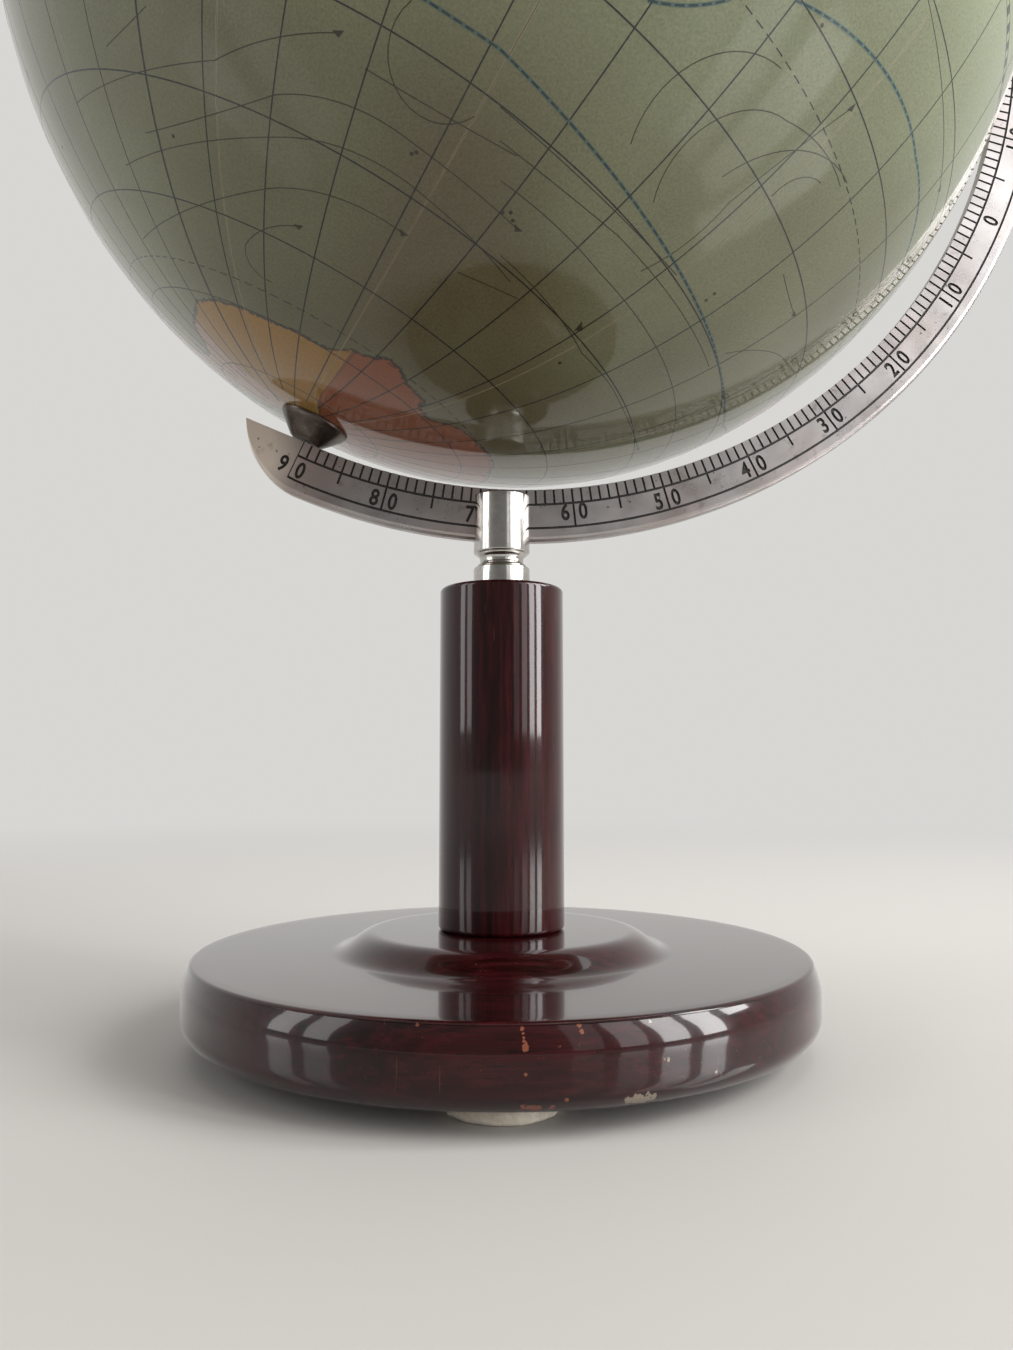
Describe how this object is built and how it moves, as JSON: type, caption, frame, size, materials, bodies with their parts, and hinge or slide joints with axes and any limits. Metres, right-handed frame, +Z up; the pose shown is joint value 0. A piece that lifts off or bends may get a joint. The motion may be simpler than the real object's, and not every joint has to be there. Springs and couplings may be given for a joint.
{
  "type": "terrestrial globe",
  "caption": "Desk globe: a paper map ball turning on a tilted axis inside a graduated half meridian, on a slotted metal stem, a turned wooden post and a round foot plate.",
  "frame": {"origin": "on the post's axis, in the plane of the felt feet's undersides", "axes": "+Z up along the post; +X towards the side that the north pole leans to and that the meridian passes; the meridian lies in the XZ plane; -Y is the side seen in the picture"},
  "size_m": [0.2108, 0.196, 0.31],
  "materials": {
    "mahogany": "mahogany-stained turned wood under clear gloss lacquer",
    "nickel": "nickel-plated turned brass, polished, with small pits",
    "scale_metal": "stamped and engraved strip, dulled by age, scale filled with black",
    "zinc_steel": "zinc-plated steel, dull",
    "spring_steel": "drawn steel, oiled",
    "felt": "pressed grey-white wool felt",
    "pressed_board": "pressed board, glued",
    "beech": "raw turned beech",
    "eyelet_brass": "drawn brass",
    "gunmetal": "blackened steel, satin",
    "map_paper": "printed map paper under gloss varnish"
  },
  "bodies": {
    "stand": {"base_plate": "mahogany", "post": "mahogany", "stem_collar": "nickel", "stem_head": "nickel", "meridian_arc": "scale_metal", "tie_rod": "zinc_steel", "rod_washer": "zinc_steel", "spring_washer": "spring_steel", "rod_nut": "zinc_steel", "felt_foot_1": "felt", "felt_foot_2": "felt", "felt_foot_3": "felt"},
    "ball": {"shell_south": "pressed_board", "shell_north": "pressed_board", "equator_hoop": "pressed_board", "spindle": "beech", "pole_block_south": "beech", "pole_block_north": "beech", "pole_pin_south": "spring_steel", "pole_pin_north": "spring_steel", "pole_eyelet_south": "eyelet_brass", "pole_eyelet_north": "eyelet_brass", "pole_cap_south": "gunmetal", "pole_cap_north": "gunmetal", "map_gore_1": "map_paper", "map_gore_2": "map_paper", "map_gore_3": "map_paper", "map_gore_4": "map_paper", "map_gore_5": "map_paper", "map_gore_6": "map_paper", "map_gore_7": "map_paper", "map_gore_8": "map_paper", "map_gore_9": "map_paper", "map_gore_10": "map_paper", "map_gore_11": "map_paper", "map_gore_12": "map_paper"}
  },
  "joints": [
    {"name": "ball_spin", "type": "hinge", "parent": "stand", "child": "ball", "pos_m": [0.003, 0, 0.20666], "axis": [0.4067, 0, 0.9135], "continuous": true}
  ]
}
